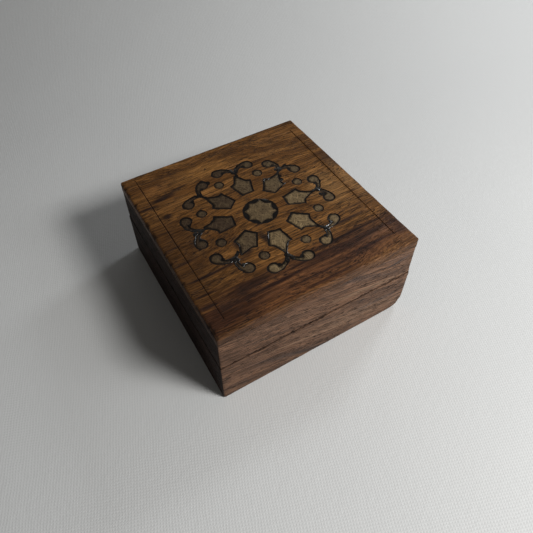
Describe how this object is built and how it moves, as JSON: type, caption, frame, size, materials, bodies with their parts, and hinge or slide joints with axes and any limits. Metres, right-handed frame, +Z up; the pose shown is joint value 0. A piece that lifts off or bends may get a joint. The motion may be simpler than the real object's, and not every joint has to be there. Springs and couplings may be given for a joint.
{
  "type": "inlaid wooden box",
  "caption": "Square hinged wooden keepsake box with a rosette of brass leaves, scrolls and dots let into its lid",
  "frame": {"origin": "centre of the flat underside, between the outer faces of the walls", "axes": "+X to the right along the front, +Y to the hinged back, +Z up"},
  "size_m": [0.102, 0.109, 0.0502],
  "materials": {
    "top_wood": "waxed, open pored, worn at the edges",
    "wall_wood": "waxed, dull",
    "inlay_brass": "tarnished, filed flat and scratched",
    "hinge_brass": "tarnished, rubbed bright on the knuckles",
    "mastic": "glossy black lac"
  },
  "bodies": {
    "base": {"base_back_wall": "wall_wood", "base_bottom_board": "wall_wood", "base_front_wall": "wall_wood", "base_left_wall": "wall_wood", "base_right_wall": "wall_wood", "left_hinge_base_leaf": "hinge_brass", "left_hinge_base_screw_1": "hinge_brass", "left_hinge_base_screw_2": "hinge_brass", "left_hinge_pin": "hinge_brass", "right_hinge_base_leaf": "hinge_brass", "right_hinge_base_screw_1": "hinge_brass", "right_hinge_base_screw_2": "hinge_brass", "right_hinge_pin": "hinge_brass"},
    "lid": {"dot_inlay_1": "inlay_brass", "dot_inlay_2": "inlay_brass", "dot_inlay_3": "inlay_brass", "dot_inlay_4": "inlay_brass", "dot_inlay_5": "inlay_brass", "dot_inlay_6": "inlay_brass", "dot_inlay_7": "inlay_brass", "dot_inlay_8": "inlay_brass", "leaf_inlay_1": "inlay_brass", "leaf_inlay_2": "inlay_brass", "leaf_inlay_3": "inlay_brass", "leaf_inlay_4": "inlay_brass", "leaf_inlay_5": "inlay_brass", "leaf_inlay_6": "inlay_brass", "leaf_inlay_7": "inlay_brass", "leaf_inlay_8": "inlay_brass", "left_hinge_lid_leaf": "hinge_brass", "left_hinge_lid_screw_1": "hinge_brass", "left_hinge_lid_screw_2": "hinge_brass", "lid_back_wall": "wall_wood", "lid_front_wall": "wall_wood", "lid_left_wall": "wall_wood", "lid_right_wall": "wall_wood", "lid_top_board": "top_wood", "right_hinge_lid_leaf": "hinge_brass", "right_hinge_lid_screw_1": "hinge_brass", "right_hinge_lid_screw_2": "hinge_brass", "scroll_inlay_1_left": "inlay_brass", "scroll_inlay_1_right": "inlay_brass", "scroll_inlay_2_left": "inlay_brass", "scroll_inlay_2_right": "inlay_brass", "scroll_inlay_3_left": "inlay_brass", "scroll_inlay_3_right": "inlay_brass", "scroll_inlay_4_left": "inlay_brass", "scroll_inlay_4_right": "inlay_brass", "scroll_inlay_5_left": "inlay_brass", "scroll_inlay_5_right": "inlay_brass", "scroll_inlay_6_left": "inlay_brass", "scroll_inlay_6_right": "inlay_brass", "scroll_inlay_7_left": "inlay_brass", "scroll_inlay_7_right": "inlay_brass", "scroll_inlay_8_left": "inlay_brass", "scroll_inlay_8_right": "inlay_brass", "star_inlay": "inlay_brass"}
  },
  "joints": [
    {"name": "lid_hinge", "type": "hinge", "parent": "base", "child": "lid", "pos_m": [0, 0.05455, 0.0265], "axis": [-1, 0, 0], "range_deg": [0, 180]}
  ]
}
